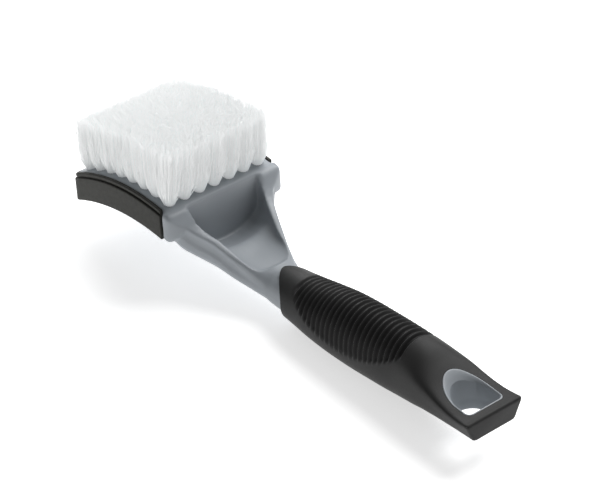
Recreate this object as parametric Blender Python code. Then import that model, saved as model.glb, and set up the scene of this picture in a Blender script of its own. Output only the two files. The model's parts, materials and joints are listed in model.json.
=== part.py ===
"""Tire brush: a curved head of tufted bristles on a scooped yoke, with a soft moulded grip.

Everything is drawn in the handle's own frame: X runs from the head (-X) to the tail, Z is up on the
bristle side, and the tail's end face is at x = 0 with the grip's centre line at z = 0. Distances named d
are measured from the tail. An empty then lays the whole brush down on its grip. Sizes are in metres.
"""
import math

import bmesh
import bpy
from mathutils import Vector

# Lie of the whole brush on a table
LIE_TILT = math.radians(4.5)

# Clearances
FIT_GAP = 0.0003
CUT_OVERRUN = 0.004

# Grip
GRIP_LENGTH = 0.1430
GRIP_HALF_WIDTH = 0.0150
GRIP_TOP = 0.0182
GRIP_BELLY = 0.0176
GRIP_WALL = 0.0032
NECK_STEP = 0.0016
NECK_STEP_RUN = 0.0143
EDGE_WAVE = 0.0120
TAIL_HALF_WIDTH = 0.0173
TAIL_BASE_HALF_WIDTH = 0.0125
TAIL_TOP = 0.0007
TAIL_BOTTOM = 0.0097

# Grooves across the grip
GROOVES = 24
GROOVE_WIDTH = 0.0019
GROOVE_DEPTH = 0.0013
GROOVE_FADE = 0.0030
GROOVE_NECK_MARGIN = 0.0182
GROOVE_TAIL_MARGIN = 0.0498
GROOVE_END_DIP = 0.0040
GROOVE_END_RISE = 0.0130

# Hang hole and the bezel round it
BEZEL_TAIL_MARGIN = 0.0050
BEZEL_LENGTH = 0.0247
BEZEL_HALF_WIDTH = 0.0111
BEZEL_CORNER = 0.0030
BEZEL_WIDTH = 0.0013
BEZEL_EDGE = 0.0005
RAMP_LENGTH = 0.0046
RAMP_DROP = 0.0026
RAMP_OVERRUN = 0.0006
HOLE_CORNER = 0.0020

# Head block, seen from the side
YOKE_RUN = 0.0432
HEAD_LENGTH = 0.0776
HEAD_WIDTH = 0.0700
HEAD_THICKNESS = 0.0160
HEAD_FRONT_CORNER = 0.0065
PLATE_RADIUS = 0.115
BACK_RADIUS = 0.125
PLATE_CROWN_SETBACK = 0.0268
PLATE_CROWN_Z = 0.0386

# Rubber bumper round the head
BUMPER_WALL = 0.0022
BUMPER_SETBACK = 0.0046
BUMPER_LEDGE = 0.0026
BUMPER_LEDGE_INSET = 0.0006
BUMPER_GROOVE = 0.0009
BUMPER_GROOVE_DEPTH = 0.0012

# Tufts in rows, each row on its slice of the plate
ROWS = 8
TUFTS_PER_ROW = 7
STRANDS_PER_TUFT = 7
FIELD_FRONT_BORDER = 0.00185
FIELD_REAR_BORDER = 0.00205
FIELD_SIDE_BORDER = 0.0020
TUFT_SIDE_MARGIN = 0.00341
SLICE_THICKNESS = 0.0040
STRAND_RADIUS = 0.00055
STRAND_TIP_RADIUS = 0.00042
STRAND_ROOT_DEPTH = 0.0010
TUFT_ROOT_RADIUS = 0.0014
TUFT_TIP_RADIUS = 0.0034
TRIM_HEIGHT = 0.0284
TRIM_RADIUS = 0.190
TRIM_CROWN_SETBACK = 0.0088
FRONT_LEAN = math.radians(-6.0)
REAR_LEAN = math.radians(10.5)
SIDE_LEAN = math.radians(3.0)

# Wire that anchors a row of tufts
WIRE_RADIUS = 0.0005
WIRE_END_MARGIN = 0.0015

# Yoke and its hollow
YOKE_ROOT = 0.0178
YOKE_SHOULDER = 0.0033
YOKE_DROP = 0.0049
YOKE_DEPTH = 0.0250
YOKE_SIDE = 0.0090
YOKE_FLUTE = 0.0011
RIM_EDGE = 0.0014
SCOOP_BITE = 0.0005
SCOOP_NECK_MARGIN = 0.0052
SCOOP_ARM = 0.0101
SCOOP_DEPTH = 0.0242
SCOOP_CORNER = 0.0120

# Places that follow from the sizes above, as distances from the tail
HEAD_REAR = GRIP_LENGTH + YOKE_RUN
HEAD_FRONT = HEAD_REAR + HEAD_LENGTH
BUMPER_REAR = HEAD_REAR + BUMPER_SETBACK
PLATE_CROWN = HEAD_REAR + PLATE_CROWN_SETBACK
TRIM_CROWN = HEAD_REAR + TRIM_CROWN_SETBACK
YOKE_START = HEAD_REAR + YOKE_ROOT
SCOOP_START = HEAD_REAR + SCOOP_BITE
SCOOP_END = GRIP_LENGTH + SCOOP_NECK_MARGIN
FIELD_FRONT = HEAD_FRONT - BUMPER_WALL - FIT_GAP - FIELD_FRONT_BORDER
FIELD_REAR = HEAD_REAR + FIELD_REAR_BORDER

# Sizes that follow from the sizes above
GROOVE_FIELD = GRIP_LENGTH - GROOVE_NECK_MARGIN - GROOVE_TAIL_MARGIN
YOKE_HALF_WIDTH = HEAD_WIDTH / 2 - YOKE_SHOULDER
YOKE_RISE = PLATE_CROWN_Z - YOKE_DROP
SCOOP_HALF_WIDTH = YOKE_HALF_WIDTH - SCOOP_ARM
SCOOP_FLOOR = YOKE_RISE - SCOOP_DEPTH
ROW_PITCH = (FIELD_FRONT - FIELD_REAR) / ROWS
SLICE_HALF_WIDTH = HEAD_WIDTH / 2 - BUMPER_WALL - FIT_GAP - FIELD_SIDE_BORDER
TUFT_PITCH = 2 * (SLICE_HALF_WIDTH - TUFT_SIDE_MARGIN) / (TUFTS_PER_ROW - 1)

# How square a section is: 2 is an ellipse, higher is squarer
GRIP_POWER_SHARE = 2.1
RIM_POWER_SHARE = 10.0
SCOOP_POWER_SHARE = 2.0

# Rows along the grip from tail to neck: share of its length, then shares of its half width, its top
# and its belly, and how far the section has become the tail's
GRIP_SHARES = (
    (0.000, 1.00, 1.00, 1.00, 1.00),
    (0.080, 1.00, 1.00, 0.95, 0.97),
    (0.154, 0.99, 1.00, 0.88, 0.80),
    (0.231, 0.98, 1.00, 0.86, 0.46),
    (0.294, 0.97, 1.00, 0.93, 0.17),
    (0.364, 0.96, 0.99, 0.97, 0.02),
    (0.455, 0.98, 1.00, 1.00, 0.00),
    (0.573, 1.00, 1.00, 1.00, 0.00),
    (0.685, 1.01, 0.95, 0.94, 0.00),
    (0.783, 0.99, 0.83, 0.82, 0.00),
    (0.874, 0.91, 0.73, 0.68, 0.00),
    (0.944, 0.85, 0.67, 0.59, 0.00),
    (1.000, 0.82, 0.66, 0.545, 0.00),
)

# Rows along the yoke from head to neck: share of its length, then shares of its half width, its rise
# and its depth, and how far the section has become the neck's
YOKE_SHARES = (
    (0.000, 0.62, 0.86, 0.30, 0.00),
    (0.150, 0.92, 0.98, 0.76, 0.00),
    (0.280, 0.985, 1.01, 1.12, 0.00),
    (0.320, 0.965, 0.98, 1.13, 0.00),
    (0.377, 0.85, 0.83, 0.96, 0.00),
    (0.443, 0.74, 0.725, 0.89, 0.00),
    (0.541, 0.637, 0.64, 0.86, 0.00),
    (0.672, 0.533, 0.49, 0.76, 0.10),
    (0.787, 0.442, 0.39, 0.71, 0.45),
    (0.902, 0.375, 0.325, 0.70, 0.85),
    (1.000, 0.338, 0.309, 0.73, 1.00),
)

# Rows along the hollow from head to neck: share of its length, then shares of its half width, its floor
# and the height over which the floor rounds up into the sides
SCOOP_SHARES = (
    (0.000, 1.00, 0.92, 1.00),
    (0.120, 0.96, 0.90, 0.95),
    (0.250, 0.87, 1.07, 0.75),
    (0.370, 0.78, 1.29, 0.45),
    (0.410, 0.75, 1.28, 0.38),
    (0.620, 0.62, 1.10, 0.30),
    (0.830, 0.555, 0.97, 0.26),
    (0.960, 0.50, 0.90, 0.24),
    (1.000, 0.46, 0.96, 0.24),
)

# The height of a section's straight side, as a share of the section's
SIDE_HEIGHT_SHARE = 0.06

# How the grip's front edge falls back over the section's half width: 1 is straight, higher is rounder
EDGE_POWER_SHARE = 1.6

# The tail's section runs along its flat base, up its slanted side and over its flat top: where along
# the half outline the base and the side end
TAIL_BASE_SHARE = 0.30
TAIL_SIDE_SHARE = 0.60

# How far a groove's ends stand above the skin, as a share of the cut's overrun
GROOVE_LIFT_SHARE = 0.12

# Resolution
RING_BELLY = 6
RING_SIDE = 3
RING_CROWN = 6
ARC_STEPS = 10
CORNER_STEPS = 4
CORE_STEPS = 20
GRIP_STEPS = 26
WAVE_RINGS = 5
YOKE_STEPS = 24
SCOOP_STEPS = 16
D_STEPS = 12
D_CORNER_STEPS = 3
WIRE_SIDES = 6
STRAND_SIDES = 3
SHARP_ANGLE = math.radians(32)

COLOURS = {
    "grey": ((0.245, 0.275, 0.310, 1.0), 0.42),
    "black": ((0.022, 0.022, 0.022, 1.0), 0.62),
    "rubber": ((0.035, 0.034, 0.032, 1.0), 0.70),
    "bristle": ((0.86, 0.89, 0.90, 1.0), 0.35),
    "wire": ((0.62, 0.60, 0.56, 1.0), 0.30),
}


def blend(table, share):
    """Smooth value between the rows of a table whose first column rises; the rest are values."""
    if share <= table[0][0]:
        return table[0][1:]
    if share >= table[-1][0]:
        return table[-1][1:]
    last = len(table) - 1
    i = max(k for k in range(last) if table[k][0] <= share)
    before, start, end, after = table[max(i - 1, 0)], table[i], table[i + 1], table[min(i + 2, last)]
    span = end[0] - start[0]
    t = (share - start[0]) / span
    values = []
    for a, b, c, e in zip(before[1:], start[1:], end[1:], after[1:]):
        slope_in = (c - a) / (end[0] - before[0]) * span
        slope_out = (e - b) / (after[0] - start[0]) * span
        rise = c - b
        if rise * slope_in <= 0:
            slope_in = 0
        if rise * slope_out <= 0:
            slope_out = 0
        square = 3 * rise - 2 * slope_in - slope_out
        cube = slope_in + slope_out - 2 * rise
        values.append(b + slope_in * t + square * t**2 + cube * t**3)
    return values


def mix(a, b, share):
    return a + (b - a) * share


def steps_between(first, last, count):
    return [mix(first, last, k / count) for k in range(count + 1)]


def arc_z(d, radius, crown_z):
    """Height of a convex arc over the head at the distance d."""
    return crown_z - radius + math.sqrt(radius**2 - (d - PLATE_CROWN)**2)


def plate_z(d):
    return arc_z(d, PLATE_RADIUS, PLATE_CROWN_Z)


def back_z(d):
    return arc_z(d, BACK_RADIUS, PLATE_CROWN_Z - HEAD_THICKNESS)


def under_plate(drop):
    """The plate's arc lowered by a drop, as a function of the distance from the tail."""
    return lambda d: plate_z(d) - drop


def new_object(name, bm):
    """A mesh object whose faces all point outward."""
    bmesh.ops.recalc_face_normals(bm, faces=bm.faces)
    mesh = bpy.data.meshes.new(name)
    bm.to_mesh(mesh)
    bm.free()
    obj = bpy.data.objects.new(name, mesh)
    bpy.context.scene.collection.objects.link(obj)
    return obj


def prism(name, outline, direction):
    """An outline of 3-D points, swept along a vector and closed."""
    bm = bmesh.new()
    face = bm.faces.new([bm.verts.new(p) for p in outline])
    swept = bmesh.ops.extrude_face_region(bm, geom=[face])
    moved = [g for g in swept["geom"] if isinstance(g, bmesh.types.BMVert)]
    bmesh.ops.translate(bm, vec=direction, verts=moved)
    return new_object(name, bm)


def add_loft(bm, rings):
    """Closed rings of equal counts, bridged one to the next and capped at both ends."""
    rows = [[bm.verts.new(p) for p in ring] for ring in rings]
    count = len(rows[0])
    for near, far in zip(rows, rows[1:]):
        for k in range(count):
            bm.faces.new((near[k], near[(k + 1) % count], far[(k + 1) % count], far[k]))
    bm.faces.new(rows[0])
    bm.faces.new(rows[-1])


def loft(name, rings):
    bm = bmesh.new()
    add_loft(bm, rings)
    return new_object(name, bm)


def combine(target, other, operation):
    """Apply one exact Boolean to the target and drop the other object."""
    tool = target.modifiers.new("combine", "BOOLEAN")
    tool.operation = operation
    tool.solver = "EXACT"
    tool.object = other
    depsgraph = bpy.context.evaluated_depsgraph_get()
    result = bpy.data.meshes.new_from_object(target.evaluated_get(depsgraph))
    old = target.data
    target.modifiers.clear()
    target.data = result
    bpy.data.meshes.remove(old)
    bpy.data.objects.remove(other)
    return target


def half_section(half_width, low, high, top, bottom, crown_power, belly_power, side_steps=1, flute=0):
    """Half a section as (y, z) from the belly's middle to the crown's: round, then a side, then round."""
    half = []
    for k in range(RING_BELLY):
        t = math.pi / 2 * k / RING_BELLY
        y = half_width * math.sin(t)**(2 / belly_power)
        half.append((y, low + (bottom - low) * math.cos(t)**(2 / belly_power)))
    for k in range(side_steps + 1):
        share = k / side_steps
        half.append((half_width - flute * math.sin(math.pi * share), mix(low, high, share)))
    for k in range(1, RING_CROWN + 1):
        t = math.pi / 2 * k / RING_CROWN
        y = half_width * max(math.cos(t), 0)**(2 / crown_power)
        half.append((y, high + (top - high) * math.sin(t)**(2 / crown_power)))
    half[-1] = (0.0, top)
    return half


def whole_ring(d, half):
    """The closed ring of a half section at the distance d."""
    mirrored = [(-y, z) for y, z in reversed(half[1:-1])]
    return [Vector((-d, y, z)) for y, z in half + mirrored]


def tail_point(share, half_top, half_base, top, bottom):
    """A point of the tail's flat-sided section, by its share of the way from the belly to the crown."""
    if share < TAIL_BASE_SHARE:
        return half_base * share / TAIL_BASE_SHARE, bottom
    if share < TAIL_SIDE_SHARE:
        t = (share - TAIL_BASE_SHARE) / (TAIL_SIDE_SHARE - TAIL_BASE_SHARE)
        return mix(half_base, half_top, t), mix(bottom, top, t)
    return half_top * (1 - share) / (1 - TAIL_SIDE_SHARE), top


def grip_half(d, inset=0, side_steps=1):
    """Half of the grip's outer section at the distance d, drawn in by an inset."""
    width, top_share, belly, tail = blend(GRIP_SHARES, d / GRIP_LENGTH)
    half_width = mix(GRIP_HALF_WIDTH * width, TAIL_HALF_WIDTH, tail) - inset
    skin_top = mix(GRIP_TOP * top_share, TAIL_TOP, tail)
    skin_bottom = -mix(GRIP_BELLY * belly, TAIL_BOTTOM, tail)
    top = skin_top - inset
    bottom = skin_bottom + inset
    middle = mix(bottom, top, -skin_bottom / (skin_top - skin_bottom))
    rise = (top - bottom) * SIDE_HEIGHT_SHARE / 2
    half = half_section(half_width, middle - rise, middle + rise, top, bottom, GRIP_POWER_SHARE,
                        GRIP_POWER_SHARE, side_steps)
    last = len(half) - 1
    for k, (y, z) in enumerate(half):
        flat_y, flat_z = tail_point(k / last, half_width, TAIL_BASE_HALF_WIDTH - inset, top, bottom)
        half[k] = (mix(y, flat_y, tail), mix(z, flat_z, tail))
    return half


def grip_section(d, inset=0, side_steps=1):
    return whole_ring(d, grip_half(d, inset, side_steps))


def skin_top(d):
    return grip_half(d)[-1][1]


def core_inset(d):
    """How deep the core lies under the grip's skin: shallow at the neck, deeper inside."""
    share = min(max((GRIP_LENGTH - EDGE_WAVE - d) / NECK_STEP_RUN, 0), 1)
    return mix(NECK_STEP, GRIP_WALL, share)


def core_rings(extra=0):
    """The rings of the core inside the grip; extra widens them for the grip's own cavity."""
    stations = steps_between(GRIP_LENGTH, GRIP_WALL - extra, CORE_STEPS)
    return [grip_section(d, core_inset(d) - extra, RING_SIDE) for d in stations]


def yoke_section(d):
    """The yoke's section: a flat rim on fluted sides over a deep belly, easing into the neck."""
    share = (YOKE_START - d) / (YOKE_START - GRIP_LENGTH)
    width, rim, belly, neck = blend(YOKE_SHARES, share)
    rim_z = YOKE_RISE * rim
    bottom_z = rim_z - YOKE_DEPTH * belly
    low = mix(rim_z - YOKE_SIDE, (rim_z + bottom_z) / 2, neck)
    high = mix(rim_z - RIM_EDGE, low + RIM_EDGE, neck)
    power = mix(RIM_POWER_SHARE, GRIP_POWER_SHARE, neck)
    half = half_section(YOKE_HALF_WIDTH * width, max(low, bottom_z + RIM_EDGE), high, rim_z, bottom_z,
                        power, GRIP_POWER_SHARE, RING_SIDE, YOKE_FLUTE * (1 - neck))
    return whole_ring(d, half)


def scoop_section(d):
    """The hollow's section, open at the top."""
    width, floor, roundness = blend(SCOOP_SHARES, (SCOOP_START - d) / (SCOOP_START - SCOOP_END))
    floor_z = SCOOP_FLOOR * floor
    side_z = floor_z + SCOOP_CORNER * roundness
    top = PLATE_CROWN_Z + HEAD_THICKNESS
    half = half_section(SCOOP_HALF_WIDTH * width, side_z, side_z + FIT_GAP, top, floor_z,
                        RIM_POWER_SHARE, SCOOP_POWER_SHARE)
    return whole_ring(d, half)


def band(name, d_front, d_rear, lower, upper, half_width):
    """A slab between two arcs, swept across the brush."""
    stations = steps_between(d_front, d_rear, ARC_STEPS)
    outline = [(-d, -half_width, upper(d)) for d in stations]
    outline += [(-d, -half_width, lower(d)) for d in reversed(stations)]
    return prism(name, outline, Vector((0, 2 * half_width, 0)))


def plan_block(name, inset, rear):
    """A tall block with the head's outline from above, drawn in by an inset, round at the front."""
    radius = HEAD_FRONT_CORNER - inset
    front = HEAD_FRONT - inset
    half = HEAD_WIDTH / 2 - inset
    side = []
    for k in range(CORNER_STEPS + 1):
        t = math.pi / 2 * k / CORNER_STEPS
        side.append((front - radius + radius * math.sin(t), half - radius + radius * math.cos(t)))
    outline = [(-rear, half)] + [(-d, y) for d, y in side]
    outline += [(-d, -y) for d, y in reversed(side)] + [(-rear, -half)]
    return prism(name, [(x, y, -CUT_OVERRUN) for x, y in outline], Vector((0, 0, 2 * PLATE_CROWN_Z)))


def head_block():
    """The curved block that carries the plate."""
    block = band("head_block", HEAD_FRONT, HEAD_REAR, back_z, plate_z, HEAD_WIDTH / 2)
    return combine(block, plan_block("plan", BUMPER_WALL + FIT_GAP, HEAD_REAR), "INTERSECT")


def d_outline(tail_d, length, half_width, corner, tail_z, head_z):
    """A D from above: straight with round corners toward the tail, half an ellipse toward the head."""
    middle = tail_d + length / 3
    half = []
    for k in range(D_CORNER_STEPS + 1):
        t = math.pi / 2 * k / D_CORNER_STEPS
        half.append((tail_d + corner * (1 - math.cos(t)), half_width - corner * (1 - math.sin(t))))
    for k in range(D_STEPS // 2):
        t = math.pi * k / D_STEPS
        half.append((middle + (tail_d + length - middle) * math.sin(t), half_width * math.cos(t)))
    mirrored = [(d, -y) for d, y in reversed(half)]
    whole = half + [(tail_d + length, 0)] + mirrored
    return [Vector((-d, y, mix(tail_z, head_z, (d - tail_d) / length))) for d, y in whole]


def d_block(name, tail_d, length, half_width, corner):
    low = -GRIP_BELLY - CUT_OVERRUN
    outline = d_outline(tail_d, length, half_width, corner, low, low)
    return prism(name, outline, Vector((0, 0, GRIP_BELLY + GRIP_TOP + 2 * CUT_OVERRUN)))


def collar(extra=0):
    """The D-shaped tube that lines the hang hole, before its bore."""
    return d_block("collar", BEZEL_TAIL_MARGIN - extra, BEZEL_LENGTH + 2 * extra, BEZEL_HALF_WIDTH + extra,
                   BEZEL_CORNER + extra)


def bore_sizes(shrink=0):
    """The hang hole's distance from the tail, length, half width and corner, drawn in by shrink."""
    length = BEZEL_LENGTH - BEZEL_WIDTH - RAMP_LENGTH
    return (BEZEL_TAIL_MARGIN + BEZEL_WIDTH + shrink, length - 2 * shrink,
            BEZEL_HALF_WIDTH - BEZEL_WIDTH - shrink, HOLE_CORNER - shrink)


def ramp():
    """The slope from the bezel's edge down to the hang hole: steep at the tail, gentle at the head."""
    foot = bore_sizes(BEZEL_EDGE)
    low = d_outline(*foot, skin_top(foot[0]) - BEZEL_WIDTH, skin_top(foot[0] + foot[1]) - RAMP_DROP)
    edge = BEZEL_TAIL_MARGIN + BEZEL_EDGE
    lip = (edge, BEZEL_LENGTH - 2 * BEZEL_EDGE, BEZEL_HALF_WIDTH - BEZEL_EDGE, BEZEL_CORNER - BEZEL_EDGE)
    high = d_outline(*lip, skin_top(edge) + RAMP_OVERRUN, skin_top(edge + lip[1]) + RAMP_OVERRUN)
    return loft("ramp", [low, high, [point + Vector((0, 0, CUT_OVERRUN)) for point in high]])


def waved_ring(d, fade):
    """A ring of the grip that reaches forward on top and stays back on its sides and below."""
    ring = grip_section(d)
    half_width = max(point.y for point in ring)
    waved = []
    for k, point in enumerate(ring):
        share = (abs(point.y) / half_width)**EDGE_POWER_SHARE if point.z > 0 else 1
        waved.append(grip_section(d - fade * EDGE_WAVE * share)[k])
    return waved


def grip_solid(name):
    """The grip's whole outer form, with a waved front edge."""
    stations = steps_between(GRIP_LENGTH, 0, GRIP_STEPS)
    rings = [waved_ring(d, 1 - k / WAVE_RINGS) for k, d in enumerate(stations[:WAVE_RINGS])]
    return loft(name, rings + [grip_section(d) for d in stations[WAVE_RINGS:]])


def groove_path(d, half, i, t):
    """The arch of a groove over a section, between the places on both sides where it ends."""
    (y0, z0), (y1, z1) = half[i], half[i + 1]
    rising = [(mix(y0, y1, t), mix(z0, z1, t))] + half[i + 1:]
    falling = [(-y, z) for y, z in reversed(rising[:-1])]
    return [Vector((-d, y, z)) for y, z in rising + falling]


def groove_rings(d):
    """One groove over the top of the grip: an arch that runs out to nothing at both ends."""
    off_middle = (d - GROOVE_TAIL_MARGIN) / (GROOVE_FIELD / 2) - 1
    end_z = -GROOVE_END_DIP + GROOVE_END_RISE * off_middle**2
    half = grip_half(d)
    i = max(k for k in range(len(half) - 1) if half[k][1] <= end_z)
    t = (end_z - half[i][1]) / (half[i + 1][1] - half[i][1])
    skin = groove_path(d, half, i, t)
    deep = groove_path(d, grip_half(d, GROOVE_DEPTH), i, t)
    outer = groove_path(d, grip_half(d, -CUT_OVERRUN), i, t)
    width = Vector((GROOVE_WIDTH / 2, 0, 0))
    rings = []
    for on_skin, floor, out in zip(skin, deep, outer):
        run = min((on_skin.z - end_z) / GROOVE_FADE, 1)
        low = on_skin.lerp(out, GROOVE_LIFT_SHARE).lerp(floor, run)
        rings.append([low - width, low + width, out + width, out - width])
    return rings


def make_grip():
    """The soft overmould: skin, cavity for the core, opening for the bezel, and the grooves."""
    grip = grip_solid("grip_overmould")
    cavity = core_rings(FIT_GAP)
    mouth = [point + Vector((-CUT_OVERRUN, 0, 0)) for point in cavity[0]]
    combine(grip, loft("cavity", [mouth] + cavity), "DIFFERENCE")
    combine(grip, collar(FIT_GAP), "DIFFERENCE")
    grooves = bmesh.new()
    for d in steps_between(GROOVE_TAIL_MARGIN, GROOVE_TAIL_MARGIN + GROOVE_FIELD, GROOVES - 1):
        add_loft(grooves, groove_rings(d))
    return combine(grip, new_object("grooves", grooves), "DIFFERENCE")


def row_pocket():
    """The recess in the plate that the bristle rows fill."""
    return band("pocket", FIELD_FRONT, FIELD_REAR, under_plate(SLICE_THICKNESS + FIT_GAP),
                under_plate(-CUT_OVERRUN), SLICE_HALF_WIDTH + FIT_GAP)


def make_body():
    """The grey moulding: head block, scooped yoke, neck, core and hang-hole collar in one piece."""
    yoke = [yoke_section(d) for d in steps_between(YOKE_START, GRIP_LENGTH, YOKE_STEPS)]
    body = loft("brush_body", yoke[:-1] + core_rings())
    combine(body, head_block(), "UNION")
    scoop = [scoop_section(d) for d in steps_between(SCOOP_START, SCOOP_END, SCOOP_STEPS)]
    combine(body, loft("scoop", scoop), "DIFFERENCE")
    combine(body, combine(grip_solid("skin"), collar(), "INTERSECT"), "UNION")
    combine(body, ramp(), "DIFFERENCE")
    combine(body, d_block("bore", *bore_sizes()), "DIFFERENCE")
    return combine(body, row_pocket(), "DIFFERENCE")


def outside_band(inset, top_drop, bottom_drop):
    """A cutter for everything outside an inset outline between two heights below the plate."""
    cutter = band("outside", HEAD_FRONT + CUT_OVERRUN, BUMPER_REAR - CUT_OVERRUN, under_plate(bottom_drop),
                  under_plate(top_drop), HEAD_WIDTH / 2 + CUT_OVERRUN)
    return combine(cutter, plan_block("inside", inset, BUMPER_REAR - 2 * CUT_OVERRUN), "DIFFERENCE")


def make_bumper():
    """The rubber bumper: a U round both sides and the front, with a ledge above a groove."""
    bumper = band("head_bumper", HEAD_FRONT, BUMPER_REAR, back_z, plate_z, HEAD_WIDTH / 2)
    combine(bumper, plan_block("outer", 0, BUMPER_REAR), "INTERSECT")
    combine(bumper, plan_block("inner", BUMPER_WALL, HEAD_REAR), "DIFFERENCE")
    combine(bumper, outside_band(BUMPER_LEDGE_INSET, -CUT_OVERRUN, BUMPER_LEDGE), "DIFFERENCE")
    groove_top = BUMPER_LEDGE - BUMPER_GROOVE
    return combine(bumper, outside_band(BUMPER_GROOVE_DEPTH, groove_top, BUMPER_LEDGE), "DIFFERENCE")


def row_d(row):
    """The distance of a row of tufts from the tail, the front row first."""
    return FIELD_FRONT - (row + 1 / 2) * ROW_PITCH


def trim_point(root, direction):
    """Where a strand from its root meets the dome that the bristles are cut to."""
    centre = Vector((-TRIM_CROWN, 0, PLATE_CROWN_Z + TRIM_HEIGHT - TRIM_RADIUS))
    flat = Vector((direction.x, 0, direction.z))
    start = Vector((root.x, 0, root.z)) - centre
    a = flat.dot(flat)
    b = 2 * start.dot(flat)
    c = start.dot(start) - TRIM_RADIUS**2
    return root + direction * ((-b + math.sqrt(b * b - 4 * a * c)) / (2 * a))


def strand_places():
    """Places of a tuft's strands as shares of its radius: one in the middle, the rest round it."""
    around = STRANDS_PER_TUFT - 1
    turns = [2 * math.pi * k / around for k in range(around)]
    return [Vector((0, 0, 0))] + [Vector((math.cos(t), math.sin(t), 0)) for t in turns]


def strand_ring(centre, radius, turn):
    """A strand's outline round a point."""
    turns = [turn + 2 * math.pi * k / STRAND_SIDES for k in range(STRAND_SIDES)]
    return [centre + Vector((radius * math.cos(t), radius * math.sin(t), 0)) for t in turns]


def add_tuft(bm, row, tuft):
    """The strands of one tuft: together at the root, spread at the trimmed tips."""
    place = tuft - (TUFTS_PER_ROW - 1) / 2
    lean = mix(FRONT_LEAN, REAR_LEAN, row / (ROWS - 1))
    side = SIDE_LEAN * place / ((TUFTS_PER_ROW - 1) / 2)
    d = row_d(row)
    root = Vector((-d, place * TUFT_PITCH, plate_z(d) - STRAND_ROOT_DEPTH))
    top = trim_point(root, Vector((math.sin(lean), math.sin(side), math.cos(lean))).normalized())
    for k, share in enumerate(strand_places()):
        foot = root + share * TUFT_ROOT_RADIUS
        tip = trim_point(foot, (top + share * TUFT_TIP_RADIUS - foot).normalized())
        turn = k + row + tuft
        add_loft(bm, [strand_ring(foot, STRAND_RADIUS, turn), strand_ring(tip, STRAND_TIP_RADIUS, turn)])


def make_row(row):
    """One row of tufts on its slice of the plate, with a channel underneath for the wire."""
    half = (ROW_PITCH - FIT_GAP) / 2
    d = row_d(row)
    obj = band("bristle_row_%d" % (row + 1), d + half, d - half, under_plate(SLICE_THICKNESS), plate_z,
               SLICE_HALF_WIDTH)
    combine(obj, channel_block(d), "DIFFERENCE")
    strands = bmesh.new()
    for tuft in range(TUFTS_PER_ROW):
        add_tuft(strands, row, tuft)
    return combine(obj, new_object("strands", strands), "UNION")


def wire_centre(d):
    """The middle of the anchor wire of the row at the distance d."""
    return Vector((-d, 0, plate_z(d) - SLICE_THICKNESS + WIRE_RADIUS))


def channel_block(d):
    """The channel in a slice's underside that the anchor wire lies in."""
    half = WIRE_RADIUS + FIT_GAP
    reach = SLICE_HALF_WIDTH + CUT_OVERRUN
    corners = ((-half, -CUT_OVERRUN), (half, -CUT_OVERRUN), (half, half), (-half, half))
    outline = [wire_centre(d) + Vector((x, -reach, z)) for x, z in corners]
    return prism("channel", outline, Vector((0, 2 * reach, 0)))


def make_wire(row):
    """The wire that a row of tufts is folded over, lying in its slice's channel."""
    reach = SLICE_HALF_WIDTH - WIRE_END_MARGIN
    start = wire_centre(row_d(row)) + Vector((0, -reach, 0))
    turns = [2 * math.pi * k / WIRE_SIDES for k in range(WIRE_SIDES)]
    outline = [start + Vector((WIRE_RADIUS * math.cos(t), 0, WIRE_RADIUS * math.sin(t))) for t in turns]
    return prism("anchor_wire_%d" % (row + 1), outline, Vector((0, 2 * reach, 0)))


def finish(obj, colour, parent):
    """Material, smooth shading with sharp edges kept, and the brush's lie."""
    rgba, roughness = COLOURS[colour]
    material = bpy.data.materials.get(colour) or bpy.data.materials.new(colour)
    material.use_nodes = True
    shader = material.node_tree.nodes["Principled BSDF"]
    shader.inputs["Base Color"].default_value = rgba
    shader.inputs["Roughness"].default_value = roughness
    shader.inputs["Metallic"].default_value = 1.0 if colour == "wire" else 0.0
    obj.data.materials.clear()
    obj.data.materials.append(material)
    obj.data.shade_smooth()
    obj.data.set_sharp_from_angle(angle=SHARP_ANGLE)
    obj.parent = parent


def lay_down(empty, pieces):
    """Tilt the brush as it lies, then set it on z = 0 with its box centred over the origin."""
    empty.rotation_euler = (0, -LIE_TILT, 0)
    turn = empty.rotation_euler.to_matrix()
    points = [turn @ v.co for piece in pieces for v in piece.data.vertices]
    low_x = min(p.x for p in points)
    high_x = max(p.x for p in points)
    empty.location = (-(low_x + high_x) / 2, 0, -min(p.z for p in points))


def main():
    for obj in list(bpy.data.objects):
        bpy.data.objects.remove(obj)
    lie = bpy.data.objects.new("brush_lie", None)
    bpy.context.scene.collection.objects.link(lie)
    pieces = [(make_body(), "grey"), (make_grip(), "black"), (make_bumper(), "rubber")]
    pieces += [(make_row(row), "bristle") for row in range(ROWS)]
    pieces += [(make_wire(row), "wire") for row in range(ROWS)]
    for obj, colour in pieces:
        finish(obj, colour, lie)
    lay_down(lie, [obj for obj, _ in pieces])


if __name__ == "__main__":
    main()
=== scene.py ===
import json
import logging
import math
from dataclasses import dataclass
from enum import Enum

import bmesh
import bpy
import numpy as np
from mathutils import Matrix, Vector


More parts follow.
